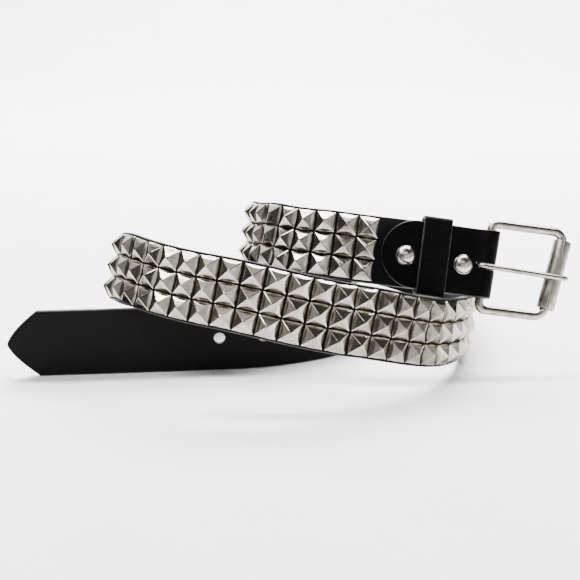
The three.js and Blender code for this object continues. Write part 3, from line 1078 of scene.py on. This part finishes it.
# A pale seamless floor that turns up into the backdrop.
FLOOR_HALF = 3.0
BACKDROP_AT = 1.4
BACKDROP_ROUND = 0.6
BACKDROP_STEPS = 12
FLOOR_BELOW = 0.0003


def seamless_floor():
    """The floor, in metres: flat under the belt, then curved up behind it."""
    line = [(-FLOOR_HALF, 0.0), (BACKDROP_AT, 0.0)]
    for step in range(1, BACKDROP_STEPS + 1):
        angle = step / BACKDROP_STEPS * QUARTER
        line.append(
            (
                BACKDROP_AT + BACKDROP_ROUND * math.sin(angle),
                BACKDROP_ROUND * (1 - math.cos(angle)),
            )
        )
    line.append((BACKDROP_AT + BACKDROP_ROUND, FLOOR_HALF))
    points = [(x, y, z - FLOOR_BELOW) for y, z in line for x in (-FLOOR_HALF, FLOOR_HALF)]
    faces = [(2 * i, 2 * i + 1, 2 * i + 3, 2 * i + 2) for i in range(len(line) - 1)]
    data = bpy.data.meshes.new("floor")
    data.from_pydata(points, [], faces)
    data.polygons.foreach_set("use_smooth", [True] * len(faces))
    made, tree, shader, place = material(
        "paper_sweep_white", {"Specular IOR Level": 0.1, "Roughness": 0.9}
    )
    fibre = add(tree, "ShaderNodeTexNoise", {"Scale": per_metre(PAPER_TONES)}, Vector=place)
    colour = add(
        tree,
        "ShaderNodeValToRGB",
        {"stops": [(0.3, "#f6f6f6"), (0.7, "#fafafa")]},
        Fac=fibre.outputs["Fac"],
    )
    tree.links.new(colour.outputs["Color"], shader.inputs["Base Color"])
    data.materials.append(made)
    floor = bpy.data.objects.new("floor", data)
    bpy.context.scene.collection.objects.link(floor)
    return floor


seamless_floor()


def softbox(name, place, target, width, height, watts):
    """A rectangular light, in metres, aimed at a target and hidden from the camera."""
    light = bpy.data.lights.new(name, "AREA")
    light.shape = "RECTANGLE"
    light.size, light.size_y = width, height
    light.energy = watts
    made = bpy.data.objects.new(name, light)
    made.location = place
    made.rotation_euler = (Vector(target) - Vector(place)).to_track_quat("-Z", "Y").to_euler()
    made.visible_camera = False
    bpy.context.scene.collection.objects.link(made)


# Soft walls of light at the sides for the studs' side facets, high ones for the upper facets, the
# ridges and the strap's top edge, and a wash that keeps the backdrop white.
MIDDLE = (0, 0, 0.04)
softbox("wall_right", (1.5, -0.9, 0.45), MIDDLE, 2.0, 1.0, 5.6)
softbox("wall_front_right", (0.45, -1.7, 0.4), MIDDLE, 1.4, 0.7, 3.2)
softbox("wall_right_back", (1.7, 0.45, 0.5), MIDDLE, 1.3, 0.9, 1.4)
softbox("high_back", (0.1, 1.2, 1.6), MIDDLE, 1.6, 0.7, 104)
softbox("high_left", (-0.72, -0.7, 1.5), MIDDLE, 0.6, 0.6, 16)
softbox("overhead_left", (-0.55, -0.4, 1.45), MIDDLE, 1.3, 1.5, 4.6)
softbox("wall_left", (-1.3, -0.85, 0.35), MIDDLE, 0.9, 0.7, 0.9)
softbox("front_high", (-0.15, -1.2, 1.02), MIDDLE, 1.5, 0.3, 3)
softbox("backdrop_wash", (0.0, 0.5, 1.9), (0, 1.9, 0.3), 2.6, 0.6, 215)

# A weak grey room fills what the lights leave dark.
ROOM_COLOUR = "#8d8b88"
ROOM_STRENGTH = 0.3
world = bpy.data.worlds.new("studio")
world.use_nodes = True
world.node_tree.nodes["Background"].inputs["Color"].default_value = linear(ROOM_COLOUR)
world.node_tree.nodes["Background"].inputs["Strength"].default_value = ROOM_STRENGTH
bpy.context.scene.world = world

# The photograph's own view, found by fitting the belt's outline to it.
CAMERA_FROM_PATH = Vector((-114.4, -590.8, 219.9))
CAMERA_PITCH = 16.41
CAMERA_LENS = 67.8
CAMERA_SENSOR = 36.0
camera = bpy.data.objects.new("camera", bpy.data.cameras.new("camera"))
camera.data.lens = CAMERA_LENS
camera.data.sensor_width = CAMERA_SENSOR
camera.location = onto_belt(CAMERA_FROM_PATH)
camera.rotation_euler = (math.radians(90 - CAMERA_PITCH), 0, 0)
bpy.context.scene.collection.objects.link(camera)
bpy.context.scene.camera = camera

bpy.context.view_layer.update()
